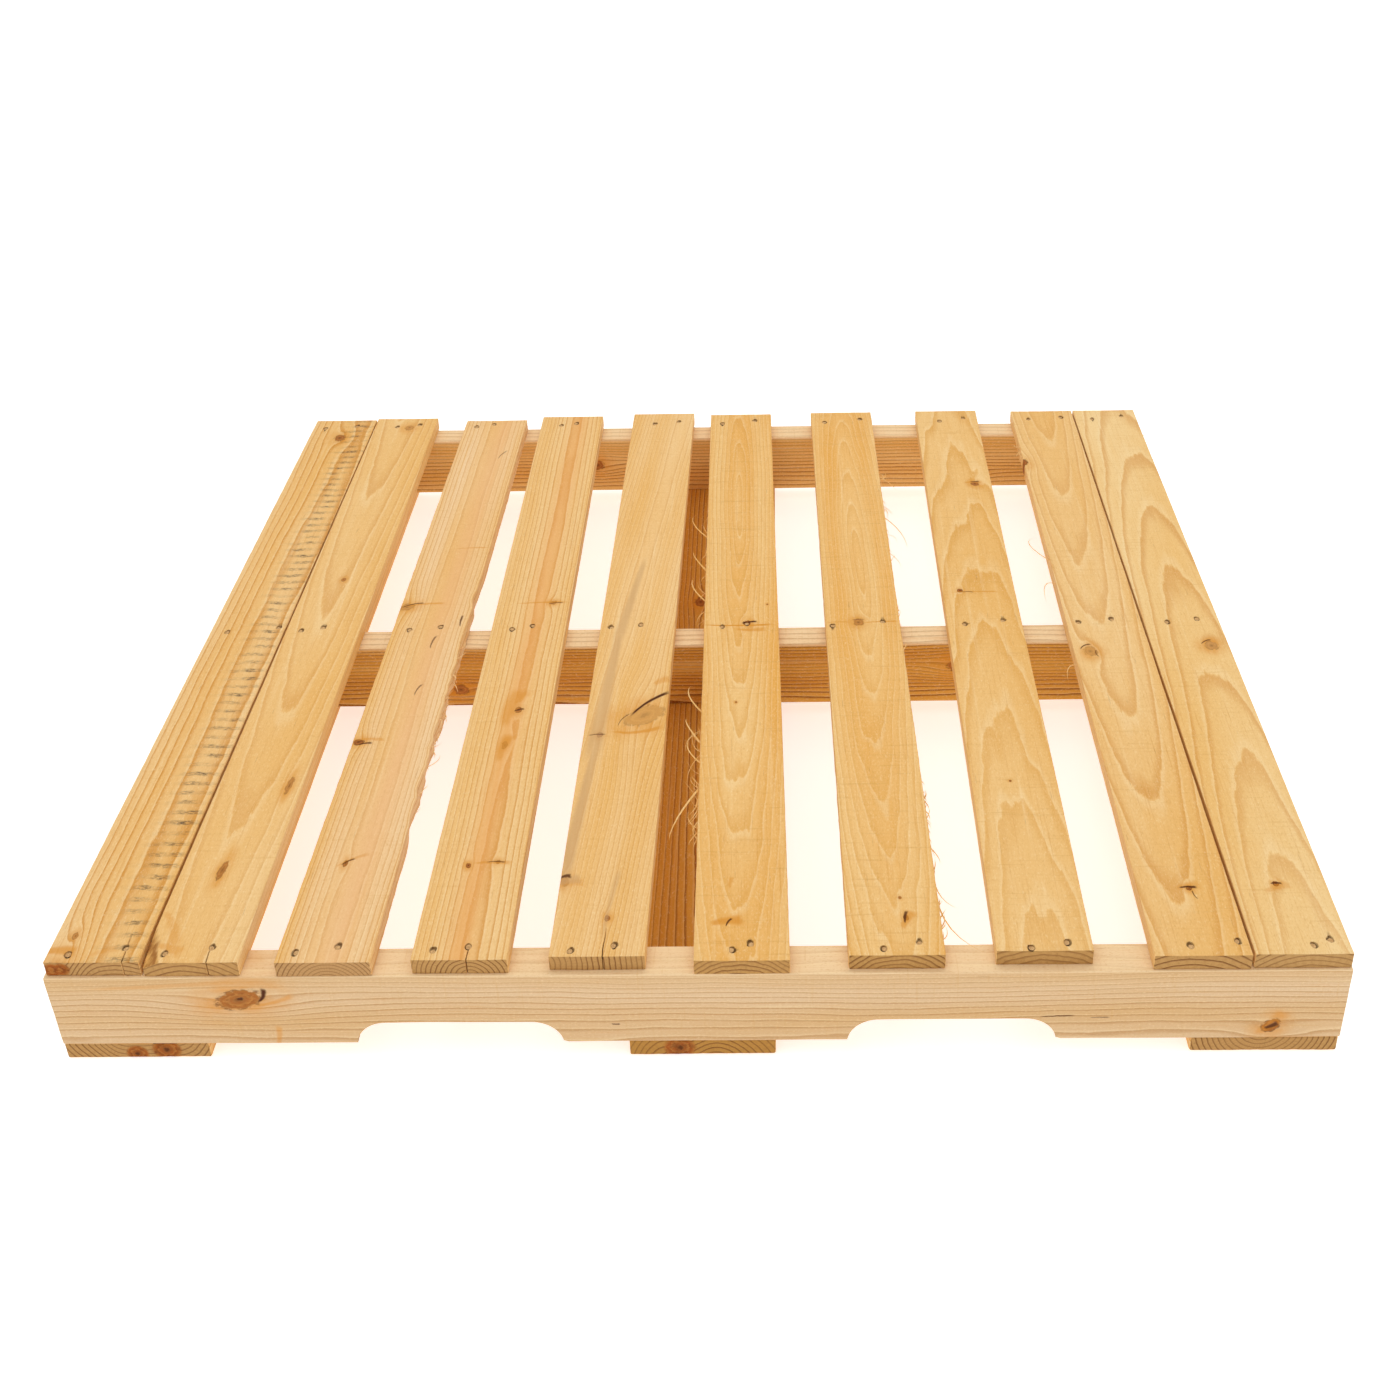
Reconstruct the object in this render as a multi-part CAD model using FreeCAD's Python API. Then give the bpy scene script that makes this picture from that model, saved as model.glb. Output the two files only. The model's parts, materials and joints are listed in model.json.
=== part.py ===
import FreeCAD, Part
import os

# Wooden stringer pallet, 48 x 40 in class, three stringers between a slatted deck and three
# bottom boards, held together by nails.
#
# Frame: millimetres. +X along the stringers, +Y from the front stringer to the back one, +Z up.
# The origin is on the floor, under the middle of the whole pallet.

# ---- driving dimensions -------------------------------------------------------------------
INCH = 25.4

STRINGER_LENGTH = 48 * INCH
STRINGER_HEIGHT = 3.5 * INCH
STRINGER_THICKNESS = 33.3
STRINGER_SPAN = 40 * INCH            # outer face to outer face

BOTTOM_BOARD_WIDTH = 5.5 * INCH
BOTTOM_BOARD_THICKNESS = 0.75 * INCH
BOTTOM_BOARD_LENGTH = STRINGER_SPAN
CENTRE_BOTTOM_BOARD_X = 5.0          # the middle bottom board sits a little off centre
OUTER_BOTTOM_BOARD_INSET = 1.0       # its outer edge stops this far inside the stringer's end

DECK_BOARD_THICKNESS = 17.5
DECK_BOARD_LENGTH = 40 * INCH
DECK_BOARD_WIDTH = 90.0
DECK_OVERHANG = 11.0                 # how far the longest deck board stands past the back stringer

NOTCH_WIDTH = 198.0                  # at the stringer's lower edge
NOTCH_DEPTH = 27.0
NOTCH_CORNER_RADIUS = 30.0
NOTCH_CENTRES = (-226.0, 242.0)      # along the stringer

NAIL_LENGTH = 57.0
BOTTOM_NAIL_LENGTH = 50.0
NAIL_SHANK_RADIUS = 1.45
NAIL_HEAD_RADIUS = 3.4
NAIL_HEAD_THICKNESS = 1.3
NAIL_POINT_LENGTH = 5.0
NAIL_SINK = 1.2                      # how far a head is driven below the board's face
NAIL_STAGGER = 3.0                   # the two nails of a pair sit this far off the stringer's middle

# Deck boards from left to right:
# (x at the front end, x at the back end, inset of the front end, extra length)
DECK_BOARDS = (
    (-562.0, -564.5, 3.0, 0.0),
    (-469.0, -473.0, 2.0, 4.0),
    (-345.0, -338.0, 1.0, -4.0),
    (-218.0, -225.0, 3.0, 3.0),
    (-90.0, -89.0, 6.0, 5.0),
    (45.0, 26.0, 0.0, 6.0),
    (189.0, 175.0, 5.0, 3.0),
    (326.0, 331.0, 9.0, 0.0),
    (470.5, 472.5, 2.0, 3.0),
    (563.5, 564.5, 3.0, 2.0),
)

# Nail pairs of each deck board, as distances from its centre line:
# over the front, the middle and the back stringer
DECK_NAIL_PAIRS = (
    ((-25, 28), (-25, 36), (-27, 18)),
    ((-26, 15), (-28, -2), (-11, 20)),
    ((-27, 10), (-24, 12), (-28, -4)),
    ((-26, 7), (-20, 5), (-16, 6)),
    ((-26, 14), (-31, 4), (-12, 22)),
    ((-10, 9), (-24, 7), (-27, 20)),
    ((-11, 22), (-36, 24), (-26, 26)),
    ((-12, 21), (-25, 22), (-11, 24)),
    ((-9, 34), (-31, 11), (-21, 26)),
    ((10, 28), (-18, 20), (-21, 25)),
)

BOTTOM_NAIL_OFFSETS = (-48.0, 0.0, 48.0)

# ---- heights and rows worked out from them ------------------------------------------------
STRINGER_BOTTOM = BOTTOM_BOARD_THICKNESS
STRINGER_TOP = STRINGER_BOTTOM + STRINGER_HEIGHT
DECK_TOP = STRINGER_TOP + DECK_BOARD_THICKNESS

FRONT_FACE = -(STRINGER_SPAN + DECK_OVERHANG) / 2
BACK_FACE = FRONT_FACE + STRINGER_SPAN
STRINGER_ROWS = {
    "front": FRONT_FACE + STRINGER_THICKNESS / 2,
    "middle": (FRONT_FACE + BACK_FACE) / 2,
    "back": BACK_FACE - STRINGER_THICKNESS / 2,
}

BOTTOM_BOARD_CENTRES = {
    "left": -STRINGER_LENGTH / 2 + OUTER_BOTTOM_BOARD_INSET + BOTTOM_BOARD_WIDTH / 2,
    "centre": CENTRE_BOTTOM_BOARD_X,
    "right": STRINGER_LENGTH / 2 - OUTER_BOTTOM_BOARD_INSET - BOTTOM_BOARD_WIDTH / 2,
}


def vector(x, y, z):
    return FreeCAD.Vector(x, y, z)


def prism(outline, direction):
    """A solid swept from a closed outline of points."""
    return Part.Face(Part.makePolygon(outline + [outline[0]])).extrude(direction)


# ---- nails --------------------------------------------------------------------------------
def nail(length, sink):
    """A nail with its head's top at z = -sink, driven down -Z, and its point at the far end."""
    head_top = -sink
    shank_top = head_top - NAIL_HEAD_THICKNESS
    point_top = head_top - length + NAIL_POINT_LENGTH
    down = vector(0, 0, -1)
    head = Part.makeCylinder(NAIL_HEAD_RADIUS, NAIL_HEAD_THICKNESS, vector(0, 0, head_top), down)
    shank = Part.makeCylinder(NAIL_SHANK_RADIUS, shank_top - point_top, vector(0, 0, shank_top), down)
    point = Part.makeCone(NAIL_SHANK_RADIUS, 0, NAIL_POINT_LENGTH, vector(0, 0, point_top), down)
    return head.fuse([shank, point]).removeSplitter()


def nail_recess(sink):
    """The short well that a sunk nail head leaves in the board's face."""
    return Part.makeCylinder(NAIL_HEAD_RADIUS, sink, vector(0, 0, -sink), vector(0, 0, 1))


def placed(shape, place, face_up):
    """A nail or recess moved to a point on a face that looks up or down."""
    copy = shape.copy()
    if not face_up:
        copy.rotate(vector(0, 0, 0), vector(1, 0, 0), 180)
    copy.translate(place)
    return copy


def nail_group(places, length, face_up):
    """The nails at these places, and the recesses over their heads."""
    nails = [placed(nail(length, NAIL_SINK), place, face_up) for place in places]
    recesses = [placed(nail_recess(NAIL_SINK), place, face_up) for place in places]
    return nails, recesses


# ---- timber -------------------------------------------------------------------------------
def deck_board_x(board, y):
    """Where a deck board's centre line is at a distance along Y."""
    front_x, back_x = board[0], board[1]
    return front_x + (back_x - front_x) * (y - FRONT_FACE) / STRINGER_SPAN


def deck_board(board):
    """A slightly skewed board lying across the three stringers, with ends square to Y."""
    inset, extra_length = board[2], board[3]
    y_front = FRONT_FACE + inset
    y_back = y_front + DECK_BOARD_LENGTH + extra_length
    half = DECK_BOARD_WIDTH / 2
    front_x = deck_board_x(board, y_front)
    back_x = deck_board_x(board, y_back)
    outline = [
        vector(front_x - half, y_front, STRINGER_TOP),
        vector(front_x + half, y_front, STRINGER_TOP),
        vector(back_x + half, y_back, STRINGER_TOP),
        vector(back_x - half, y_back, STRINGER_TOP),
    ]
    return prism(outline, vector(0, 0, DECK_BOARD_THICKNESS))


def deck_nail_places(board, pairs):
    """Two nails over each stringer, staggered across it."""
    places = []
    for row, pair in zip(STRINGER_ROWS.values(), pairs):
        for side, offset in zip((-1, 1), pair):
            y = row + side * NAIL_STAGGER
            places.append(vector(deck_board_x(board, y) + offset, y, DECK_TOP))
    return places


def bottom_board(centre_x):
    corner = vector(centre_x - BOTTOM_BOARD_WIDTH / 2, FRONT_FACE, 0)
    return Part.makeBox(BOTTOM_BOARD_WIDTH, BOTTOM_BOARD_LENGTH, BOTTOM_BOARD_THICKNESS, corner)


def bottom_nail_places(centre_x):
    """Three nails under each stringer, the middle one on the other side of the row."""
    places = []
    for row in STRINGER_ROWS.values():
        for index, offset in enumerate(BOTTOM_NAIL_OFFSETS):
            side = 1 if index % 2 else -1
            places.append(vector(centre_x + offset, row + side * NAIL_STAGGER, 0))
    return places


def notch(centre_x, row):
    """The fork notch: a flat-topped cut in the lower edge with round upper corners."""
    radius = NOTCH_CORNER_RADIUS
    roof = STRINGER_BOTTOM + NOTCH_DEPTH
    corner_z = roof - radius
    half_flat = NOTCH_WIDTH / 2 - radius
    y = row - STRINGER_THICKNESS

    def on_corner(side, across, up):
        return vector(centre_x + side * (half_flat + across), y, corner_z + up)

    diagonal = radius / 2 ** 0.5
    left_arc = Part.Arc(on_corner(-1, radius, 0), on_corner(-1, diagonal, diagonal),
                        on_corner(-1, 0, radius))
    right_arc = Part.Arc(on_corner(1, 0, radius), on_corner(1, diagonal, diagonal),
                         on_corner(1, radius, 0))
    edges = [
        left_arc.toShape(),
        Part.LineSegment(on_corner(-1, 0, radius), on_corner(1, 0, radius)).toShape(),
        right_arc.toShape(),
        Part.LineSegment(on_corner(1, radius, 0), on_corner(-1, radius, 0)).toShape(),
    ]
    return Part.Face(Part.Wire(edges)).extrude(vector(0, 2 * STRINGER_THICKNESS, 0))


def stringer(row):
    corner = vector(-STRINGER_LENGTH / 2, row - STRINGER_THICKNESS / 2, STRINGER_BOTTOM)
    return Part.makeBox(STRINGER_LENGTH, STRINGER_THICKNESS, STRINGER_HEIGHT, corner)


# ---- assembly -----------------------------------------------------------------------------
def build():
    """Every sub-part by name. Nails are cut out of the timber that they are driven into."""
    nodes = {}
    deck_nails = []
    bottom_nails = []

    for number, (board, pairs) in enumerate(zip(DECK_BOARDS, DECK_NAIL_PAIRS), start=1):
        nails, recesses = nail_group(deck_nail_places(board, pairs), NAIL_LENGTH, True)
        nodes[f"deck_board_{number:02d}"] = deck_board(board).cut(nails + recesses)
        nodes[f"deck_board_{number:02d}_nails"] = Part.makeCompound(nails)
        deck_nails += nails

    for name, centre_x in BOTTOM_BOARD_CENTRES.items():
        nails, recesses = nail_group(bottom_nail_places(centre_x), BOTTOM_NAIL_LENGTH, False)
        nodes[f"bottom_board_{name}"] = bottom_board(centre_x).cut(nails + recesses)
        nodes[f"bottom_board_{name}_nails"] = Part.makeCompound(nails)
        bottom_nails += nails

    for name, row in STRINGER_ROWS.items():
        timber = stringer(row)
        if name == "front":
            timber = timber.cut([notch(centre_x, row) for centre_x in NOTCH_CENTRES])
        near = [
            item for item in deck_nails + bottom_nails
            if abs(item.BoundBox.Center.y - row) < STRINGER_THICKNESS / 2
        ]
        nodes[f"{name}_stringer"] = timber.cut(near)

    return nodes


os.makedirs("parts", exist_ok=True)
for node_name, shape in build().items():
    shape.exportStep(f"parts/{node_name}.step")
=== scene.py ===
import itertools
import json
import math

import bpy
import numpy as np
from mathutils import Matrix, Vector


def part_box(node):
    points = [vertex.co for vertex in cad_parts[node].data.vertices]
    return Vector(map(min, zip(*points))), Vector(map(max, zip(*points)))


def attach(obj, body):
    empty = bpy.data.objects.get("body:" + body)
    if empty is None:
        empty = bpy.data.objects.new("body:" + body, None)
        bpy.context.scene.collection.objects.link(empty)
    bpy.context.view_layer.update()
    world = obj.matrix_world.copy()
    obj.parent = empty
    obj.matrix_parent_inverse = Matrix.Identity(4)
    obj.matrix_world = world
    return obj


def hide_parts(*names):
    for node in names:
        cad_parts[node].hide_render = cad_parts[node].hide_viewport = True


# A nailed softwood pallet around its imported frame. Each board is built in its own timber
# coordinates: across its width, along its length, and up through its depth, in metres.
# The same coordinates are kept on the mesh as the attribute "timber", and the grain, knots
# and stains of the material are worked out from them.

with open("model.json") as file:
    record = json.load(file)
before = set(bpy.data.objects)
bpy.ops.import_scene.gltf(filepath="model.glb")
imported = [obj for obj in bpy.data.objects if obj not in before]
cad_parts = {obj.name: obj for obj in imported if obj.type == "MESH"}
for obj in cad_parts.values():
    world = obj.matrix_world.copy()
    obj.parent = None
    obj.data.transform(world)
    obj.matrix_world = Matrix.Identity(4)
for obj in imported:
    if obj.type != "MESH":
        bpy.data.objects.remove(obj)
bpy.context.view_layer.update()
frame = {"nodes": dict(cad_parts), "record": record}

MM = 0.001


# ---- numbers ------------------------------------------------------------------------------
# large odd numbers that scatter neighbouring points and seeds, and a mask of 16 bits
AXIS_MIX = np.array((374761393, 668265263, 1442695041), np.uint32)
SEED_MIX = 97561
LAST_MIX = np.uint32(1274126177)
LOW_BITS = np.uint32(65535)


def lattice(cell, seed):
    """A repeatable value from 0 to 1 at each whole-number point."""
    mixed = (cell.astype(np.uint32) * AXIS_MIX).sum(axis=1, dtype=np.uint32)
    mixed = mixed + np.uint32(seed * SEED_MIX)
    mixed = (mixed ^ (mixed >> np.uint32(13))) * LAST_MIX
    return ((mixed ^ (mixed >> np.uint32(16))) & LOW_BITS) / LOW_BITS


def noise(points, feature, seed):
    """Smooth noise from -1 to 1. feature is the size of a bump in each direction."""
    scaled = points / np.array(feature) + 1000
    base = np.floor(scaled).astype(np.int64)
    part = scaled - base
    part = part * part * (3 - 2 * part)
    total = np.zeros(len(points))
    for corner in itertools.product((0, 1), repeat=3):
        weight = np.prod(np.where(corner, part, 1 - part), axis=1)
        total += weight * lattice(base + np.array(corner), seed)
    return total * 2 - 1


def ramp(value, low, high):
    """0 below low, 1 above high, and smooth between. low may be the larger one."""
    part = np.clip((value - low) / (high - low), 0, 1)
    return part * part * (3 - 2 * part)


# ---- timber meshes ------------------------------------------------------------------------
EDGE_LINES = (0.35 * MM, 0.9 * MM, 1.7 * MM, 2.8 * MM)   # extra grid lines beside each edge
LEAST_GAP = 0.3 * MM
BOARD_GRID = (3.6 * MM, 7 * MM, 2.6 * MM)                # across, along and through a piece
STRINGER_GRID = (3.2 * MM, 6 * MM, 3.0 * MM)
LEAST_EDGE = 0.25 * MM
RIPPLE = 0.12 * MM
RAGGED_FADE = 40 * MM                                    # how slowly a torn stretch starts
RAGGED_REACH = 12 * MM                                   # how far in from the edge it goes
POCKET_RADIUS = 3.5 * MM
POCKET_UNEVEN = 0.7 * MM
POCKET_PULL = 1.3 * MM                                   # how far it is torn to one side
POCKET_DEPTH = 2.3 * MM


def grid_lines(low, high, step, spots=()):
    """Places of a face's grid lines: step apart, close together at both edges and at each
    spot, which is (centre, reach, spacing)."""
    fine = [np.arange(max(low, c - r), min(high, c + r), gap) for c, r, gap in spots]
    inside = np.linspace(low, high, max(2, round((high - low) / step)) + 1)
    clear = [x for x in inside if all(abs(x - c) > r for c, r, _ in spots)]
    edges = [low + x for x in EDGE_LINES] + [high - x for x in EDGE_LINES]
    lines = np.sort(np.concatenate([clear, edges, *fine]))
    kept = [low]
    for line in lines:
        if line - kept[-1] > LEAST_GAP and high - line > LEAST_GAP:
            kept.append(line)
    return np.array(kept + [high])


def box_surface(lines):
    """Points and quads of a closed box with these grid lines in its three directions."""
    counts = [len(x) for x in lines]
    place = np.indices(counts).reshape(3, -1).T
    last = np.array(counts) - 1
    outside = ((place == 0) | (place == last)).any(axis=1)
    number = np.full(len(place), -1)
    number[outside] = np.arange(outside.sum())
    number = number.reshape(counts)
    points = np.stack([lines[axis][place[outside][:, axis]] for axis in range(3)], axis=1)
    quads = []
    for axis in range(3):
        for end in (0, -1):
            sheet = np.take(number, end, axis=axis)
            corners = [sheet[:-1, :-1], sheet[1:, :-1], sheet[1:, 1:], sheet[:-1, 1:]]
            if (end == 0) == (axis != 1):
                corners.reverse()
            quads.append(np.stack(corners, axis=-1).reshape(-1, 4))
    return points, np.concatenate(quads)


class Timber:
    """One piece of wood while its surface is being worked."""

    def __init__(self, width, length, depth, seed, across_spots, along_spots, step):
        self.size = np.array((width, length, depth))
        self.seed = seed
        lines = (
            grid_lines(-width / 2, width / 2, step[0], across_spots),
            grid_lines(0, length, step[1], along_spots),
            grid_lines(0, depth, step[2]),
        )
        self.points, self.quads = box_surface(lines)
        self.triangles = np.zeros((0, 3), int)
        self.timber = self.points.copy()
        # painted shade on each point: the nail wells and the drying cracks
        self.dirt = np.zeros(len(self.points))
        self.bark = np.zeros(len(self.points))

    def ease_edges(self, radius, spread):
        """Rounds the edges by a radius that varies along them, and keeps the outward direction."""
        middle = np.array((0, self.size[1] / 2, self.size[2] / 2))
        vary = noise(self.timber, (0.03, 0.045, 0.03), self.seed + 1)
        radius = np.clip(radius + spread * vary, LEAST_EDGE, None)[:, None]
        inner = self.size / 2 - radius
        offset = self.points - middle
        core = np.clip(offset, -inner, inner)
        away = offset - core
        length = np.linalg.norm(away, axis=1, keepdims=True)
        self.out = away / length
        self.points = middle + core + self.out * radius

    def weather(self, cup, wave, fuzz, ragged):
        """Cups the board, and adds the small waves and the fuzz that sawing and drying leave.
        ragged is a side, a stretch of its length, and how deep that edge is torn."""
        width = self.size[0]
        across = self.timber[:, 0] / (width / 2)
        flat = np.abs(self.out[:, 2]) ** 2
        self.points[:, 2] += cup * (across ** 2 - 0.5) * flat
        waves = noise(self.timber, (0.05, 0.22, 0.05), self.seed + 2)
        ripples = noise(self.timber, (0.006, 0.05, 0.006), self.seed + 3)
        sides = np.abs(self.out[:, 0])
        torn = noise(self.timber, (0.004, 0.011, 0.003), self.seed + 4)
        push = wave * waves + RIPPLE * ripples - fuzz * sides * np.abs(torn)
        self.points += self.out * push[:, None]
        side, start, end, bite = ragged
        chewed = np.abs(noise(self.timber, (1, 0.021, 0.03), self.seed + 7))
        stretch = ramp(self.timber[:, 1], start, start + RAGGED_FADE)
        stretch *= ramp(self.timber[:, 1], end, end - RAGGED_FADE)
        edge = ramp(self.timber[:, 0] * side, width / 2 - RAGGED_REACH, width / 2)
        self.points[:, 0] -= side * bite * chewed * stretch * edge

    def nail_pocket(self, across, along, top, seed):
        """The torn well round a sunk nail head."""
        side = noise(np.array([[across, along, 0]]), (0.004, 0.004, 1), seed)[0] * math.pi
        pull = np.array((math.cos(side), math.sin(side))) * POCKET_PULL
        apart = self.timber[:, :2] - (across, along) - pull
        near = (self.out[:, 2] > 0.5) if top else (self.out[:, 2] < -0.5)
        distance = np.linalg.norm(apart * (1.0, 0.82), axis=1)
        angle = np.arctan2(apart[:, 1], apart[:, 0])
        rough = np.stack([np.cos(angle), np.sin(angle), np.zeros(len(angle))], axis=1)
        rim = POCKET_RADIUS + POCKET_UNEVEN * noise(rough, (0.8, 0.8, 1), seed)
        depth = ramp(distance, rim, rim - 1.0 * MM) * near
        self.points[:, 2] -= (1 if top else -1) * POCKET_DEPTH * depth
        # painted shade: the well round the nail head is darkened up to its rim
        stain = ramp(distance, rim + 0.3 * MM, rim - 0.6 * MM) * near * 0.72
        self.dirt = np.maximum(self.dirt, stain)

    def check(self, across, start, end, depth, width, drift):
        """A drying crack that runs along the grain, deepest at its start."""
        along = self.timber[:, 1]
        progress = np.clip((along - start) / (end - start), 0, 1)
        inside = (along >= start) & (along <= end)
        crooked = 0.5 * MM * noise(self.timber, (1, 0.012, 1), self.seed + 5)
        line = across + drift * progress + crooked
        distance = np.abs(self.timber[:, 0] - line)
        groove = ramp(distance, width, 0.15 * width) * (1 - progress) ** 0.5 * inside
        top = self.out[:, 2] > 0.5
        self.points[:, 2] -= depth * groove * top
        end_face = np.abs(self.out[:, 1]) > 0.5
        self.points[:, 1] -= self.out[:, 1] * depth * groove * end_face
        # painted shade in the crack's groove, on the top and on the end
        self.dirt = np.maximum(self.dirt, groove * (top | end_face))

    def wane(self, across, along, slope_across, slope_along, drop):
        """Takes a corner off down to a sloping plane, where the log's own surface was."""
        depth = self.size[2]
        a = (self.timber[:, 0] - across) * np.sign(across)
        s = np.abs(self.timber[:, 1] - along)
        plane = depth - drop + slope_across * -a + slope_along * s
        plane += 0.4 * MM * noise(self.timber, (0.006, 0.012, 0.006), self.seed + 6)
        over = self.points[:, 2] - plane
        cut = over > 0
        self.points[cut, 2] = np.maximum(plane[cut], 0.15 * depth)
        self.bark = np.maximum(self.bark, ramp(over, 0, 0.8 * MM))

    def add_shell(self, points, triangles):
        """Adds a closed shell, such as a splinter, to the same piece."""
        start = len(self.points)
        self.points = np.vstack([self.points, points])
        self.timber = np.vstack([self.timber, points])
        self.dirt = np.append(self.dirt, np.zeros(len(points)))
        self.bark = np.append(self.bark, np.zeros(len(points)))
        self.triangles = np.vstack([self.triangles, triangles + start])

    def splinter(self, root, reach, bend, thick):
        """A tapered, bent sliver from root: reach is where its tip is, bend pushes its middle."""
        root, reach, bend = (np.array(x, float) for x in (root, reach, bend))
        steps, sides = 7, 4
        t = np.linspace(0, 1, steps)[:, None]
        spine = root + reach * t + bend * (4 * t * (1 - t))
        forward = np.gradient(spine, axis=0)
        forward /= np.linalg.norm(forward, axis=1, keepdims=True)
        side = np.cross(forward, (0.0, 0.1, 1.0))
        side /= np.linalg.norm(side, axis=1, keepdims=True)
        up = np.cross(side, forward)
        radius = thick * (1 - t) ** 0.7
        rings = []
        for turn in range(sides):
            angle = 2 * math.pi * turn / sides
            flat = side * math.cos(angle) + up * math.sin(angle) * 0.45
            rings.append(spine + flat * radius)
        points = np.stack(rings, axis=1)[:-1].reshape(-1, 3)
        points = np.vstack([points, root - forward[0] * thick, spine[-1]])
        heel, tip = len(points) - 2, len(points) - 1
        faces = []
        for step in range(steps - 2):
            for turn in range(sides):
                here = step * sides + turn
                beside = step * sides + (turn + 1) % sides
                faces.append((here, beside, beside + sides))
                faces.append((here, beside + sides, here + sides))
        final = (steps - 2) * sides
        for turn in range(sides):
            beside = (turn + 1) % sides
            faces.append((heel, beside, turn))
            faces.append((final + turn, final + beside, tip))
        self.add_shell(points, np.array(faces))


def mesh_object(name, timber, to_row):
    """The Blender object of a finished timber. to_row takes its points to their place."""
    faces = timber.quads.tolist() + timber.triangles.tolist()
    mesh = bpy.data.meshes.new(name)
    mesh.from_pydata(to_row(timber.points).tolist(), [], faces)
    for label, values, kind in (
        ("timber", timber.timber, "FLOAT_VECTOR"),
        ("dirt", timber.dirt, "FLOAT"),
        ("bark", timber.bark, "FLOAT"),
    ):
        layer = mesh.attributes.new(label, kind, "POINT")
        key = "vector" if kind == "FLOAT_VECTOR" else "value"
        layer.data.foreach_set(key, np.asarray(values, np.float32).ravel())
    mesh.shade_smooth()
    mesh.set_sharp_from_angle(angle=math.radians(50))
    piece = bpy.data.objects.new(name, mesh)
    bpy.context.scene.collection.objects.link(piece)
    return piece


# ---- materials ----------------------------------------------------------------------------
class Term:
    """A number or vector in a material's node tree, so that a pattern reads as a formula."""

    def __init__(self, tree, socket):
        self.tree = tree
        self.socket = socket

    def math(self, operation, *others):
        node = self.tree.nodes.new("ShaderNodeMath")
        node.operation = operation
        for slot, value in zip(node.inputs, (self, *others)):
            connect(self.tree, value, slot)
        return Term(self.tree, node.outputs[0])

    def __add__(self, other):
        return self.math("ADD", other)

    def __sub__(self, other):
        return self.math("SUBTRACT", other)

    def __mul__(self, other):
        return self.math("MULTIPLY", other)

    def __truediv__(self, other):
        return self.math("DIVIDE", other)

    def times(self, across, along, through):
        """A vector with each of its parts multiplied."""
        node = self.tree.nodes.new("ShaderNodeVectorMath")
        node.operation = "MULTIPLY"
        connect(self.tree, self, node.inputs[0])
        node.inputs[1].default_value = (across, along, through)
        return Term(self.tree, node.outputs[0])

    def parts(self):
        node = self.tree.nodes.new("ShaderNodeSeparateXYZ")
        connect(self.tree, self, node.inputs[0])
        return [Term(self.tree, output) for output in node.outputs]

    def noise(self, seed, detail=2.0, rough=0.5):
        """Noise from about 0 to 1 over this vector."""
        node = self.tree.nodes.new("ShaderNodeTexNoise")
        node.noise_dimensions = "4D"
        connect(self.tree, seed, node.inputs["W"])
        node.inputs["Scale"].default_value = 1.0
        node.inputs["Detail"].default_value = detail
        node.inputs["Roughness"].default_value = rough
        connect(self.tree, self, node.inputs["Vector"])
        return Term(self.tree, node.outputs[0])

    def ramp(self, low, high):
        """0 at low, 1 at high, and smooth between. low may be the larger one."""
        node = self.tree.nodes.new("ShaderNodeMapRange")
        node.interpolation_type = "SMOOTHSTEP"
        falling = not isinstance(low, Term) and low > high
        connect(self.tree, self, node.inputs["Value"])
        connect(self.tree, high if falling else low, node.inputs["From Min"])
        connect(self.tree, low if falling else high, node.inputs["From Max"])
        node.inputs["To Min"].default_value = 1.0 if falling else 0.0
        node.inputs["To Max"].default_value = 0.0 if falling else 1.0
        return Term(self.tree, node.outputs[0])

    def bell(self):
        """1 where this is 0, falling away on both sides."""
        return (self * self * -1).math("EXPONENT")

    def toward(self, colour, amount):
        """This colour, turned towards another by an amount from 0 to 1."""
        node = self.tree.nodes.new("ShaderNodeMix")
        node.data_type = "RGBA"
        connect(self.tree, amount, node.inputs["Factor"])
        connect(self.tree, self, node.inputs["A"], "RGBA")
        connect(self.tree, colour, node.inputs["B"], "RGBA")
        return Term(self.tree, next(o for o in node.outputs if o.type == "RGBA"))


def connect(tree, value, slot, kind=None):
    """Links a term to an input, or sets the input to a plain value."""
    if kind == "RGBA":
        slot = next(s for s in slot.node.inputs if s.type == "RGBA" and s.name == slot.name)
        value = value if isinstance(value, Term) else (*value, 1.0)
    if isinstance(value, Term):
        tree.links.new(value.socket, slot)
    else:
        slot.default_value = value


def attribute(tree, name, output):
    """A value that is kept on the mesh."""
    node = tree.nodes.new("ShaderNodeAttribute")
    node.attribute_name = name
    return Term(tree, node.outputs[output])


def plain_colour(tree, colour):
    node = tree.nodes.new("ShaderNodeRGB")
    node.outputs[0].default_value = (*colour, 1.0)
    return Term(tree, node.outputs[0])


def new_material(name):
    """An empty material and its Principled shader."""
    material = bpy.data.materials.new(name)
    material.use_nodes = True
    shader = material.node_tree.nodes["Principled BSDF"]
    return material, material.node_tree, shader


def add_bump(tree, shader, height, distance):
    node = tree.nodes.new("ShaderNodeBump")
    node.inputs["Distance"].default_value = distance
    node.inputs["Strength"].default_value = 1.0
    connect(tree, height, node.inputs["Height"])
    tree.links.new(node.outputs["Normal"], shader.inputs["Normal"])


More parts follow.
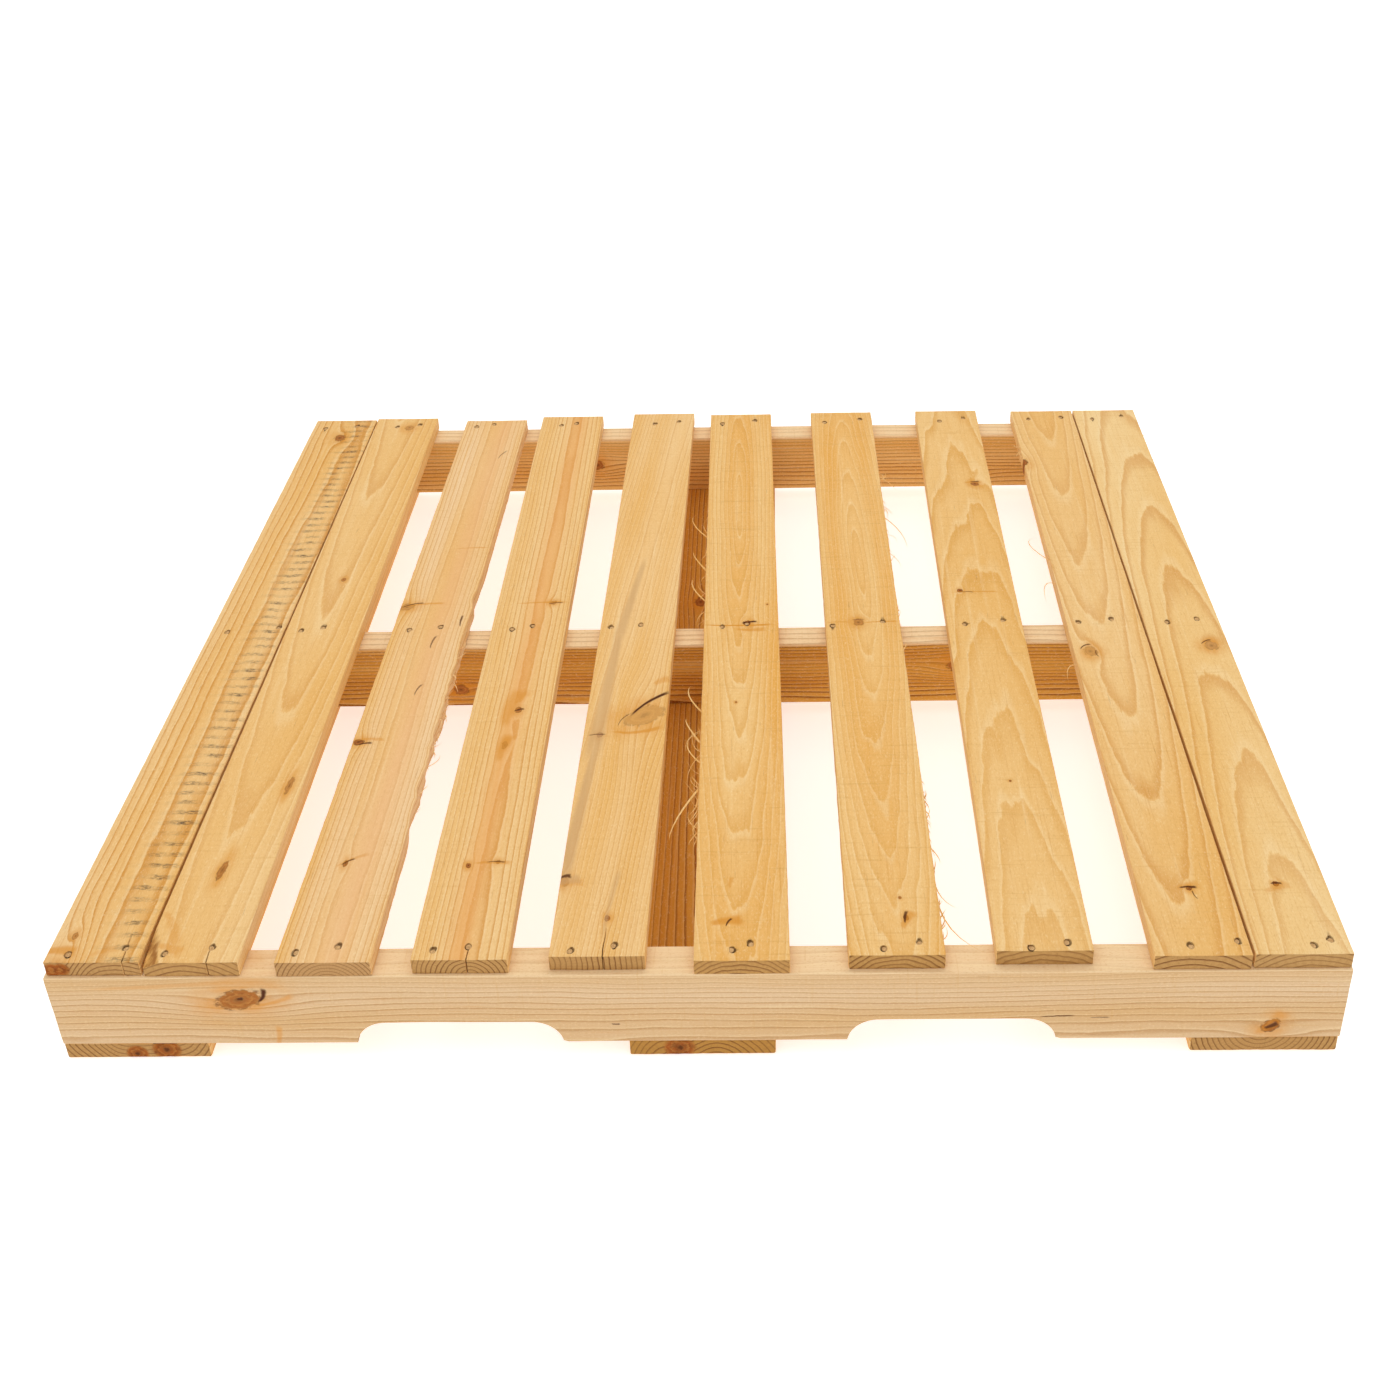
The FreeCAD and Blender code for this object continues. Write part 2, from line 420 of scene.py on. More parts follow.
class Group:
    """A node group whose body is written as formulas on its inputs."""

    def __init__(self, name, inputs, outputs):
        self.tree = bpy.data.node_groups.new(name, "ShaderNodeTree")
        kinds = {"number": "NodeSocketFloat", "vector": "NodeSocketVector",
                 "colour": "NodeSocketColor"}
        for side, sockets in (("INPUT", inputs), ("OUTPUT", outputs)):
            for label, kind in sockets.items():
                self.tree.interface.new_socket(label, in_out=side, socket_type=kinds[kind])
        source = self.tree.nodes.new("NodeGroupInput")
        self.given = {label: Term(self.tree, source.outputs[label]) for label in inputs}
        self.sink = self.tree.nodes.new("NodeGroupOutput")

    def give(self, **results):
        for label, value in results.items():
            connect(self.tree, value, self.sink.inputs[label])

    def use(self, tree, **values):
        """A node of this group in another tree, as terms by the names of its outputs."""
        node = tree.nodes.new("ShaderNodeGroup")
        node.node_tree = self.tree
        for label, value in values.items():
            slot = node.inputs[label]
            if slot.type == "RGBA" and not isinstance(value, Term):
                value = (*value, 1.0)
            connect(tree, value, slot)
        return {output.name: Term(tree, output) for output in node.outputs}


# colours of new southern pine
PALE = (0.86, 0.57, 0.255)
HONEY = (0.81, 0.455, 0.135)
# painted light: the paler colour of a stringer's top edge, where the light falls on it
LIT_TOP = (0.88, 0.64, 0.37)
LATE = (0.60, 0.235, 0.022)
DEEP = (0.68, 0.27, 0.025)
HALF_KNOT = (0.56, 0.25, 0.055)
KNOT = (0.34, 0.085, 0.012)
KNOT_RING = (0.085, 0.022, 0.005)
FLECK = (0.30, 0.13, 0.04)
SCRATCH = (0.62, 0.32, 0.07)
NAP = (0.56, 0.26, 0.04)
BARK = (0.30, 0.105, 0.02)
# painted shade, for the nail wells, the drying cracks and the rims of the nail heads
PAINTED_SHADE = (0.045, 0.022, 0.010)
INK = (0.035, 0.032, 0.028)
END_TONE = (0.41, 0.195, 0.046)
END_LINE = (0.15, 0.048, 0.01)
END_RAY = (0.36, 0.17, 0.05)
END_PORE = (0.20, 0.09, 0.025)
BRIGHT = (0.96, 0.76, 0.44)
STEEL = (0.80, 0.50, 0.22)
STEEL_SHADE = (0.30, 0.16, 0.06)
RUST = (0.42, 0.21, 0.07)


def knot_group():
    """Adds one knot to the sums so far: how the grain parts, how it swells, and how near the
    nearest knot is, in knot radii."""
    running = {"part": "number", "swell": "number", "nearest": "number", "dark": "number"}
    group = Group("knot", {"timber": "vector", "across": "number", "along": "number",
                           "level": "number", "round": "number", "radius": "number",
                           "stretch": "number", "turn": "number", "tone": "number", **running},
                  running)
    at = group.given
    across, along, depth = at["timber"].parts()
    x = across - at["across"]
    y = along - at["along"]
    z = (depth - at["level"]) / at["radius"] * at["round"]
    sine, cosine = at["turn"].math("SINE"), at["turn"].math("COSINE")
    long_way = (x * sine + y * cosine) / (at["radius"] * at["stretch"])
    short_way = (x * cosine - y * sine) / at["radius"]
    reach = (x / (at["radius"] * 2.1)).bell() * (y / (at["radius"] * at["stretch"] * 3.6)).bell()
    distance = (short_way * short_way + long_way * long_way + z * z).math("SQRT")
    group.give(
        part=at["part"] - x * reach * 0.75,
        swell=at["swell"] + reach * at["radius"] * 0.5,
        nearest=at["nearest"].math("MINIMUM", distance),
        dark=at["dark"].math("MAXIMUM", distance.ramp(1.7, 1.2) * at["tone"]),
    )
    return group


def mark_group():
    """Adds one dark or resinous stroke, such as a crack or a pitch streak, to the sum so far."""
    sizes = ("across", "along", "turn", "half_length", "half_width", "bend", "tone", "total")
    group = Group("mark", {"timber": "vector", **dict.fromkeys(sizes, "number")},
                  {"total": "number"})
    at = group.given
    across, along, _ = at["timber"].parts()
    waver = (at["timber"].times(160, 160, 1).noise(at["across"] * 900, 3, 0.6) - 0.5) * 2.4 * MM
    x = across - at["across"] + waver
    y = along - at["along"] + waver
    sine, cosine = at["turn"].math("SINE"), at["turn"].math("COSINE")
    forward = (x * cosine + y * sine) / at["half_length"]
    sideways = y * cosine - x * sine - at["bend"] * (forward * forward * -1 + 1)
    length_fade = forward.math("ABSOLUTE").ramp(1.05, 0.65)
    off_line = sideways / (at["half_width"] * (forward * 0.35 + 0.8))
    stroke = (off_line * off_line).bell() * length_fade
    group.give(total=at["total"].math("MAXIMUM", stroke * at["tone"]))
    return group


def softwood_group():
    """Softwood round a pith that runs along the piece: rings, fibres, knots, ends and bark."""
    numbers = ("seed", "pith_across", "pith_depth", "lean_across", "lean_depth", "wander", "ring",
               "late_from", "contrast", "sawn", "sap_from", "sap_to", "end_axis", "part", "swell",
               "nearest", "dark", "streak_start", "streak_slope", "streak_width", "streak_amount",
               "waver", "resin", "stain", "crack", "ink")
    colours = ("pale", "honey", "late_colour", "streak_colour")
    group = Group("softwood",
                  {"timber": "vector", **dict.fromkeys(numbers, "number"),
                   **dict.fromkeys(colours, "colour")},
                  {"colour": "colour", "roughness": "number", "relief": "number"})
    tree, at = group.tree, group.given
    place, seed = at["timber"], at["seed"]
    across, along, depth = place.parts()

    # distance from the pith, which wanders a little
    wander = place.times(6, 2.2, 6).noise(seed) - 0.5
    waver = place.times(45, 9, 45).noise(seed + 1) - 0.5
    u = across - along * at["lean_across"] - at["pith_across"] + wander * at["wander"] + at["part"]
    w = depth - along * at["lean_depth"] - at["pith_depth"] + waver * at["waver"]
    radius = (u * u + w * w).math("SQRT") + at["swell"]
    uneven = (place.times(16, 3, 16).noise(seed + 2) - 0.5) * 1.1
    ragged_line = (place.times(130, 34, 130).noise(seed + 10, 3, 0.6) - 0.5) * 0.28
    rings = radius / at["ring"] + uneven + ragged_line
    part = rings.math("FRACT")
    strength = (rings.math("FLOOR") * 12.9898 + seed).math("SINE").math("MULTIPLY_ADD", 0.24, 0.74)
    age = (rings * 0.83 + seed).math("SINE") * 0.5 + 0.5
    late = part.ramp(at["late_from"], 0.94) * part.ramp(1.0, 0.955) * strength
    # painted light: 1 along the top edge of a stringer, where the light falls, and 0 elsewhere
    lit_band = across.ramp(at["sap_from"], at["sap_to"])

    # long fibres, and the broad change from pale to honey
    fibre = place.times(900, 14, 900).noise(seed + 3, 3, 0.6)
    streak = place.times(150, 3.5, 150).noise(seed + 4, 2, 0.5)
    broad = place.times(14, 2.6, 14).noise(seed + 5, 2, 0.5)
    fleck = place.times(520, 38, 520).noise(seed + 6, 1, 0.5)
    colour = at["pale"].toward(at["honey"], broad.ramp(0.35, 0.75) * 0.5 + age * 0.5)
    # painted light on a stringer's top edge: paler, with fainter ring lines
    colour = colour.toward(LIT_TOP, lit_band)
    colour = colour.toward(at["late_colour"], late * at["contrast"] * (lit_band * -0.65 + 1))
    colour = colour.toward(BRIGHT, part.ramp(0.24, 0.02) * 0.26)
    colour = colour.toward(at["honey"], streak.ramp(0.5, 0.8) * 0.35)
    colour = colour.toward(BRIGHT, streak.ramp(0.42, 0.2) * 0.3)
    colour = colour.toward(LATE, fibre.ramp(0.52, 0.78) * 0.42)
    colour = colour.toward(FLECK, fleck.ramp(0.70, 0.80) * 0.30)

    # what the saw left: short lines across the board, and a fine nap
    scratch = place.times(18, 430, 18).noise(seed + 14, 2, 0.6)
    nap = place.times(760, 330, 760).noise(seed + 15, 2, 0.7)
    colour = colour.toward(SCRATCH, scratch.ramp(0.54, 0.78) * at["sawn"])
    colour = colour.toward(BRIGHT, nap.ramp(0.48, 0.22) * 0.45)
    colour = colour.toward(NAP, nap.ramp(0.52, 0.80) * 0.40)
    line = across - along * at["streak_slope"] - at["streak_start"] + wander * 6 * MM
    band = (line / at["streak_width"]).bell() * (streak * 0.7 + 0.5)
    colour = colour.toward(at["streak_colour"], band * at["streak_amount"])

    # knots: a warm halo, rings of their own, and a dark rim where they are dead
    torn = place.times(210, 150, 210).noise(seed + 7, 3, 0.6)
    ragged = at["nearest"] + (torn - 0.5) * 0.8
    halo = place.times(60, 25, 60).noise(seed + 16)
    colour = colour.toward(DEEP, ragged.ramp(3.4, 0.9) * halo.ramp(0.2, 0.75) * 0.75)
    growth = (ragged * 17 + fibre * 3).math("SINE") * 0.5 + 0.5
    inside = ragged.ramp(1.08, 0.86)
    core = plain_colour(tree, HALF_KNOT).toward(KNOT, growth * 0.4 + at["dark"] * 0.6)
    core = at["honey"].toward(core, at["dark"] * 1.2 + 0.45)
    core = core.toward(KNOT_RING, at["dark"] * torn.ramp(0.4, 0.7) * 0.55)
    core = core.toward(KNOT_RING, ragged.ramp(0.36, 0.12) * (at["dark"] * 0.7 + 0.2))
    colour = colour.toward(core, inside)
    rim = ((ragged - 1.0) / 0.12).bell() * torn.ramp(0.62, 0.4)
    colour = colour.toward(KNOT_RING, rim * (at["dark"] * 0.7 + 0.25))
    colour = colour.toward(DEEP, at["resin"])
    colour = colour.toward(at["streak_colour"], at["stain"] * (streak * 0.6 + 0.6))
    colour = colour.toward(KNOT_RING, at["crack"])
    colour = colour.toward(INK, at["ink"])

    # sawn ends: the same rings, darker and greyer, with fine cracks between them
    geometry = tree.nodes.new("ShaderNodeNewGeometry")
    toward_x, toward_y, _ = Term(tree, geometry.outputs["True Normal"]).parts()
    facing = toward_x.math("ABSOLUTE") * (at["end_axis"] * -1 + 1)
    facing = facing + toward_y.math("ABSOLUTE") * at["end_axis"]
    end = facing.ramp(0.6, 0.8)
    ray = (u.math("ARCTAN2", w) * 60).math("SINE") * 0.5 + 0.5
    sawn = place.times(500, 500, 500).noise(seed + 8, 3, 0.65)
    end_colour = at["pale"].toward(END_TONE, 0.75)
    end_colour = end_colour.toward(END_LINE, late.math("POWER", 0.8) * 0.9)
    end_colour = end_colour.toward(END_RAY, ray * sawn * 0.35)
    end_colour = end_colour.toward(END_PORE, sawn.ramp(0.5, 0.75) * 0.30)
    end_colour = end_colour.toward(core, at["nearest"].ramp(1.2, 0.9))
    colour = colour.toward(end_colour, end)

    # the log's own surface, and painted shade in the nail wells and the drying cracks
    bark_tone = place.times(260, 90, 260).noise(seed + 9, 3, 0.6)
    bark_colour = at["honey"].toward(BARK, bark_tone.ramp(0.25, 0.65) * 0.85)
    colour = colour.toward(bark_colour, attribute(tree, "bark", "Fac"))
    colour = colour.toward(PAINTED_SHADE, attribute(tree, "dirt", "Fac") * (fibre * 0.5 + 0.6))

    saw_marks = (along * 4200 + broad * 9).math("SINE") * (streak * 0.5)
    relief = late * 0.30 + fibre * 0.45 + saw_marks * at["sawn"] + end * sawn * 1.2
    relief = relief + at["nearest"].ramp(1.1, 0.9) * 0.25 + growth * inside * 0.2
    relief = relief + nap * 0.35 - scratch.ramp(0.5, 0.8) * at["sawn"] - at["crack"] * 2
    group.give(colour=colour, roughness=fibre * 0.16 - late * 0.14 + end * 0.15 + 0.55,
               relief=relief)
    return group


KNOT_GROUP = knot_group()
MARK_GROUP = mark_group()
SOFTWOOD = softwood_group()
NO_STREAK = (0, 0, 10, PALE, 0)
# no painted light on a top edge
NO_LIT_TOP = (900, 901)               # past the far edge of any piece


def wood_material(name, look, seed):
    """Softwood as look describes it: see "how each piece of timber looks" for what it holds."""
    material, tree, shader = new_material(name)
    place = attribute(tree, "timber", "Vector")
    running = {"part": 0.0, "swell": 0.0, "nearest": 9.0, "dark": 0.0}
    for across, along, radius, stretch, tone, *turn in look.get("knots", ()):
        running = KNOT_GROUP.use(
            tree, timber=place, across=across * MM, along=along * MM, radius=radius * MM,
            stretch=stretch, turn=math.radians(turn[0] if turn else 0), tone=tone, **running)
    for across, along, level, radius, tone in look.get("end_knots", ()):
        running = KNOT_GROUP.use(
            tree, timber=place, across=across * MM, along=along * MM, level=level * MM, round=1,
            radius=radius * MM, stretch=1.4, tone=tone, **running)
    resin = add_marks(tree, place, look.get("resin", ()))
    stain = add_marks(tree, place, look.get("stains", ()))
    crack = add_marks(tree, place, look.get("cracks", ()))
    pith_across, pith_depth = look["pith"]
    lean_across, lean_depth = look.get("lean", (0.0, 0.0))
    sap_from, sap_to = look.get("sapwood", NO_LIT_TOP)
    start, slope, width, tint, amount = look.get("streak", NO_STREAK)
    wood = SOFTWOOD.use(
        tree, timber=place, seed=seed * 1.37, pith_across=pith_across * MM,
        pith_depth=pith_depth * MM, lean_across=lean_across, lean_depth=lean_depth,
        wander=look.get("wander", 12) * MM, ring=look["ring"] * MM,
        late_from=look.get("late_from", 0.62), contrast=look.get("contrast", 0.6),
        waver=look.get("waver", 1.6) * MM, resin=resin, stain=stain, crack=crack,
        sawn=look.get("sawn", 0.2), sap_from=sap_from * MM, sap_to=sap_to * MM,
        end_axis=look["end_axis"], pale=look.get("pale", PALE), honey=look.get("honey", HONEY),
        late_colour=look.get("late_colour", LATE), streak_start=start * MM, streak_slope=slope,
        streak_width=width * MM, streak_colour=tint, streak_amount=amount,
        ink=smudges(place, look["smudges"], seed) if "smudges" in look else 0.0, **running)
    connect(tree, wood["colour"], shader.inputs["Base Color"])
    connect(tree, wood["roughness"], shader.inputs["Roughness"])
    shader.inputs["Specular IOR Level"].default_value = 0.10
    add_bump(tree, shader, wood["relief"], 0.35 * MM)
    return material


def add_marks(tree, place, marks):
    """The strength of some strokes: (across, along, turn, length, width, bend, tone) each."""
    total = 0.0
    for across, along, turn, length, width, bend, tone in marks:
        total = MARK_GROUP.use(
            tree, timber=place, across=across * MM, along=along * MM, turn=math.radians(turn),
            half_length=length / 2 * MM, half_width=width / 2 * MM, bend=bend * MM, tone=tone,
            total=total)["total"]
    return total


def smudges(place, look, seed):
    """Black marks left by a feed roller: short dashes across the grain, in a broken row."""
    across, along, _ = place.parts()
    middle, width, pitch = look
    wobble = place.times(30, 8, 1).noise(seed + 11) - 0.5
    row = ((across - middle * MM + wobble * 14 * MM) / (width * MM)).bell()
    dash = ((along / (pitch * MM) + wobble * 0.8) * math.tau).math("SINE").ramp(-0.1, 0.8)
    patch = place.times(45, 46, 1).noise(seed + 12, 2, 0.6).ramp(0.36, 0.66) * 0.85 + 0.15
    grit = place.times(170, 620, 1).noise(seed + 13, 3, 0.7).ramp(0.36, 0.60)
    return row * dash * patch * grit * 0.9


def steel_material():
    """Dull wire-nail steel, scratched by the driver and browned in places, with painted shade
    round the rim of each head.
    """
    material, tree, shader = new_material("nail_steel")
    node = tree.nodes.new("ShaderNodeTexCoord")
    place = Term(tree, node.outputs["Object"])
    scratch = place.times(2600, 700, 900).noise(3, 3, 0.6)
    brown = place.times(420, 420, 420).noise(5, 3, 0.6)
    colour = plain_colour(tree, STEEL).toward(STEEL_SHADE, scratch.ramp(0.4, 0.66) * 0.7)
    colour = colour.toward(RUST, brown.ramp(0.40, 0.60) * 0.6)
    # painted shade: the outer rim of each head is darkened where it meets the wood
    colour = colour.toward(PAINTED_SHADE, attribute(tree, "rim", "Fac").ramp(0.72, 1.0) * 0.9)
    connect(tree, colour, shader.inputs["Base Color"])
    connect(tree, scratch * 0.3 + brown * 0.3 + 0.3, shader.inputs["Roughness"])
    shader.inputs["Specular IOR Level"].default_value = 0.2
    add_bump(tree, shader, scratch, 0.06 * MM)
    return material


# ---- what the frame says ------------------------------------------------------------------
def node_points(node):
    """The corners of a CAD node's mesh."""
    return np.array([v.co for v in frame["nodes"][node].data.vertices], float)


def end_span(points, end):
    """The lowest and highest x of a board at the end that lies at this y."""
    near = points[np.abs(points[:, 1] - end) < 0.5 * MM]
    return near[:, 0].min(), near[:, 0].max()


def nail_places(node, head_up):
    """The middle of each nail's head in a CAD node of nails."""
    points = node_points(node)
    level = points[:, 2].max() if head_up else points[:, 2].min()
    flat = points[np.abs(points[:, 2] - level) < 0.1 * MM]
    groups = []
    for point in flat:
        for group in groups:
            if np.linalg.norm(group[0] - point) < 8 * MM:
                group.append(point)
                break
        else:
            groups.append([point])
    return [(np.min(g, axis=0) + np.max(g, axis=0)) / 2 for g in groups]


# ---- deck boards and bottom boards --------------------------------------------------------
class BoardPlace:
    """Where a board that lies along Y is: it may be skewed, with its ends square to Y."""

    def __init__(self, node):
        points = node_points(node)
        self.front = points[:, 1].min()
        back = points[:, 1].max()
        low, high = end_span(points, self.front)
        back_low, back_high = end_span(points, back)
        self.front_x = (low + high) / 2
        self.back_x = (back_low + back_high) / 2
        self.width = high - low
        self.length = back - self.front
        self.floor = points[:, 2].min()
        self.depth = points[:, 2].max() - self.floor

    def centre_x(self, along):
        """Where the board's centre line is at a distance from its front end."""
        return self.front_x + (self.back_x - self.front_x) * along / self.length

    def to_row(self, points):
        """Points of the board, (across, along, up), in the shared frame."""
        across, along, up = points.T
        x = self.centre_x(along) + across
        return np.stack([x, self.front + along, self.floor + up], axis=1)

    def to_timber(self, place):
        """A place in the shared frame as (across, along)."""
        along = place[1] - self.front
        return place[0] - self.centre_x(along), along


BOARD_CUP = 0.3 * MM
BOARD_WAVE = 0.22 * MM
CHECK_DEPTH = 4 * MM
CHECK_WIDTH = 0.55 * MM
NOT_RAGGED = (1, 0, 100, 0)


def board(node, look, nails_up, seed):
    """A board of the deck or the bottom, with its nail pockets."""
    place = BoardPlace(node)
    nails = [place.to_timber(p) for p in nail_places(node + "_nails", nails_up)]
    checks = look.get("checks", ())
    across_spots = [(a, 5 * MM, 0.62 * MM) for a, _ in nails]
    across_spots += [(check[0] * MM, 2 * MM, 0.35 * MM) for check in checks]
    along_spots = [(s, 5.4 * MM, 0.72 * MM) for _, s in nails]
    timber = Timber(place.width, place.length, place.depth, seed, across_spots, along_spots,
                    BOARD_GRID)
    timber.ease_edges(look.get("edge", 0.8) * MM, 0.5 * MM)
    side, start, end, bite = look.get("ragged", NOT_RAGGED)
    timber.weather(BOARD_CUP, BOARD_WAVE, look.get("fuzz", 0.25) * MM,
                   (side, start * MM, end * MM, bite * MM))
    for index, (a, s) in enumerate(nails):
        timber.nail_pocket(a, s, nails_up, seed + 40 + index)
    for a, start, end, drift in checks:
        timber.check(a * MM, start * MM, end * MM, CHECK_DEPTH, CHECK_WIDTH, drift * MM)
    for a, s, slope_a, slope_s, drop in look.get("wanes", ()):
        timber.wane(a * MM, s * MM, slope_a, slope_s, drop * MM)
    for fringe in look.get("fringes", ()):
        add_fringe(timber, fringe, seed)
    for root, reach, bend, thick in look.get("slivers", ()):
        timber.splinter(np.array(root) * MM, np.array(reach) * MM, np.array(bend) * MM, thick * MM)
    piece = mesh_object(node + "_timber", timber, place.to_row)
    piece.data.materials.append(
        wood_material(node + "_wood", {"end_axis": 1, **look}, seed))
    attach(piece, "root")
    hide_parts(node)
    return piece


def add_fringe(timber, fringe, seed):
    """Torn fibres along one edge: side is -1 or 1, from start to end along the board."""
    side, start, end, count, longest = fringe
    width, _, depth = timber.size
    random = np.random.default_rng(seed * 31 + int(abs(start)))
    for _ in range(count):
        along = random.uniform(start, end) * MM
        length = random.uniform(0.3, 1.0) * longest * MM
        forward = random.choice((-1, 1))
        root = (side * (width / 2 - 0.6 * MM), along, random.uniform(0.35, 0.93) * depth)
        out = random.uniform(0.12, 0.55) * length * side
        reach = (out, forward * length, random.uniform(-0.35, 0.2) * length)
        bend = (random.uniform(-0.1, 0.2) * length * side, 0, random.uniform(-0.12, 0.12) * length)
        timber.splinter(root, reach, bend, random.uniform(0.4, 0.85) * MM)


# ---- stringers ----------------------------------------------------------------------------
NOTCH_WIDTH = 198 * MM
NOTCH_DEPTH = 27 * MM
NOTCH_CORNER = 30 * MM


def notch_floor(along, centres):
    """How far a stringer's lower edge is raised by its notches at a place along it."""
    floor = np.zeros(len(along))
    half_flat = NOTCH_WIDTH / 2 - NOTCH_CORNER
    for centre in centres:
        from_flat = np.clip(np.abs(along - centre) - half_flat, 0, None)
        arc = np.sqrt(np.clip(NOTCH_CORNER ** 2 - from_flat ** 2, 0, None))
        raised = np.clip(NOTCH_DEPTH - NOTCH_CORNER + arc, 0, None)
        floor = np.maximum(floor, np.where(from_flat < NOTCH_CORNER, raised, 0))
    return floor


def notch_lines(centres):
    """Grid lines that follow the round corners of the notches evenly."""
    half_flat = NOTCH_WIDTH / 2 - NOTCH_CORNER
    last_turn = math.acos(1 - NOTCH_DEPTH / NOTCH_CORNER)
    offsets = half_flat + NOTCH_CORNER * np.sin(np.linspace(0, last_turn, 14))
    return [c + side * offset for c in centres for side in (-1, 1) for offset in offsets]


def stringer(node, look, centres, seed):
    """A stringer on edge: its width stands along Z, and its depth lies along Y."""
    low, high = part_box(node)
    length, depth, width = high - low
    middle_z = (low.z + high.z) / 2
    along_centres = [c - low.x for c in centres]
    along_spots = [(x, 0.2 * MM, 0.4 * MM) for x in notch_lines(along_centres)]
    timber = Timber(width, length, depth, seed, [], along_spots, STRINGER_GRID)
    timber.ease_edges(1.1 * MM, 0.6 * MM)
    timber.weather(0, 0.25 * MM, 0, NOT_RAGGED)
    for points in (timber.points, timber.timber):
        raised = notch_floor(points[:, 1], along_centres)
        share = (width / 2 - points[:, 0]) / width
        points[:, 0] += raised * share

    def to_row(points):
        across, along, through = points.T
        return np.stack([low.x + along, low.y + through, middle_z + across], axis=1)

    piece = mesh_object(node + "_timber", timber, to_row)
    piece.data.materials.append(
        wood_material(node + "_wood", {"end_axis": 0, **look}, seed))
    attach(piece, "root")
    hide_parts(node)


# ---- nails --------------------------------------------------------------------------------
NAIL_LENGTH = 57 * MM
BOTTOM_NAIL_LENGTH = 50 * MM
HEAD_RADIUS = 3.35 * MM
SHANK_RADIUS = 1.4 * MM
HEAD_DEPTH = 1.3 * MM
FLUTE_START = 4 * MM
FLUTE_DEPTH = 0.09                      # as a share of the radius
NAIL_SIDES = 16


def nail_profile(length):
    """Radius and distance below the head's top, from the head's middle to the point."""
    head, shank = HEAD_RADIUS, SHANK_RADIUS
    profile = [(0.9 * MM, 0.0), (2.4 * MM, 0.06 * MM), (3.1 * MM, 0.2 * MM), (head, 0.5 * MM),
               (head, 0.85 * MM), (3.0 * MM, 1.1 * MM), (1.9 * MM, 1.25 * MM), (shank, 1.9 * MM)]
    steps = 36
    run = length - 6 * MM - FLUTE_START
    profile += [(shank, FLUTE_START + run * i / steps) for i in range(steps + 1)]
    profile += [(shank * 0.95, length - 4.4 * MM), (0.45 * shank, length - 1.4 * MM)]
    return profile


def nail_points(place, profile, length, direction, random):
    """One nail: the middle of its head, the rings of its profile from there, and its point."""
    spin = random.uniform(0, math.tau)
    tilt_x, tilt_y = random.uniform(-0.05, 0.05), random.uniform(-0.05, 0.05)
    tilt = Matrix.Rotation(tilt_x, 3, "X") @ Matrix.Rotation(tilt_y, 3, "Y")
    base = Vector(place)
    points = [base]
    for radius, below in profile:
        fluted = FLUTE_START <= below <= length - 5 * MM
        lean = tilt if below < HEAD_DEPTH else Matrix.Identity(3)
        for turn in range(NAIL_SIDES):
            angle = math.tau * turn / NAIL_SIDES
            flute = FLUTE_DEPTH * math.cos(4 * angle - below / MM * 0.45) if fluted else 0
            reach = radius * (1 + flute)
            at = Vector((reach * math.cos(angle + spin), reach * math.sin(angle + spin),
                         direction * below))
            points.append(base + lean @ at)
    return points + [base + Vector((0, 0, direction * length))]


def nail_faces(start, rings):
    """The faces of one nail whose points begin at start."""
    faces = []
    for turn in range(NAIL_SIDES):
        beside = (turn + 1) % NAIL_SIDES
        faces.append((start, start + 1 + turn, start + 1 + beside))
        for ring in range(rings - 1):
            upper = start + 1 + ring * NAIL_SIDES
            lower = upper + NAIL_SIDES
            faces.append((upper + turn, lower + turn, lower + beside, upper + beside))
        final = start + 1 + (rings - 1) * NAIL_SIDES
        faces.append((final + turn, final + NAIL_SIDES, final + beside))
    return faces


def nails(node, head_up, length, metal, seed):
    """The nails of one board as one object: domed heads, fluted shanks and tapered points."""
    random = np.random.default_rng(seed)
    profile = nail_profile(length)
    # how far out each point is: 0 in the middle, and 1 at the head's rim
    widths = [radius / HEAD_RADIUS for radius, _ in profile for _ in range(NAIL_SIDES)]
    points, rims, faces = [], [], []
    for place in nail_places(node, head_up):
        faces += nail_faces(len(points), len(profile))
        points += nail_points(place, profile, length, -1 if head_up else 1, random)
        rims += [0.0] + widths + [0.0]
    if not head_up:
        faces = [tuple(reversed(f)) for f in faces]
    mesh = bpy.data.meshes.new(node + "_detail")
    mesh.from_pydata(points, [], faces)
    mesh.shade_smooth()
    mesh.set_sharp_from_angle(angle=math.radians(45))
    mesh.attributes.new("rim", "FLOAT", "POINT").data.foreach_set("value", rims)
    piece = bpy.data.objects.new(node + "_detail", mesh)
    bpy.context.scene.collection.objects.link(piece)
    mesh.materials.append(metal)
    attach(piece, "root")
    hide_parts(node)


# ---- how each piece of timber looks -------------------------------------------------------
# Lengths are in mm and angles in degrees. Across is from the middle of the piece, and along is
# from its front end, or from its left end for a stringer.
#   pith       across and depth of the growth rings' centre; lean is how it drifts along the piece
#   ring       width of a growth ring; late_from is where in it the dark wood starts
#   contrast   strength of the ring lines; wander and waver are how crooked they run
#   sawn       strength of the saw's lines; fuzz is how rough the sides are, and edge how round
#   knots      (across, along, radius, stretch along the grain, darkness, turn if any)
#   end_knots  (across, along, depth, radius, darkness), round ones that an end or edge cuts
#   resin, stains, cracks   strokes: (across, along, turn, length, width, bend, strength)
#   streak     (across at the front end, slope, width, colour, amount); stains use its colour
#   checks     drying cracks: (across, from, to, drift)
#   wanes      (across, along, slope across, slope along, drop at the corner)
#   ragged     (side, from, to, how deep that edge is torn)
#   fringes    torn fibres: (side, from, to, count, longest)
#   slivers    (root, where the tip is from there, push of the middle, thickness)
#   smudges    (across, width, pitch)
#   sapwood    painted light, a paler top edge on a stringer: (across where it starts, across where it is full)
GREY_PITH = (0.60, 0.35, 0.15)
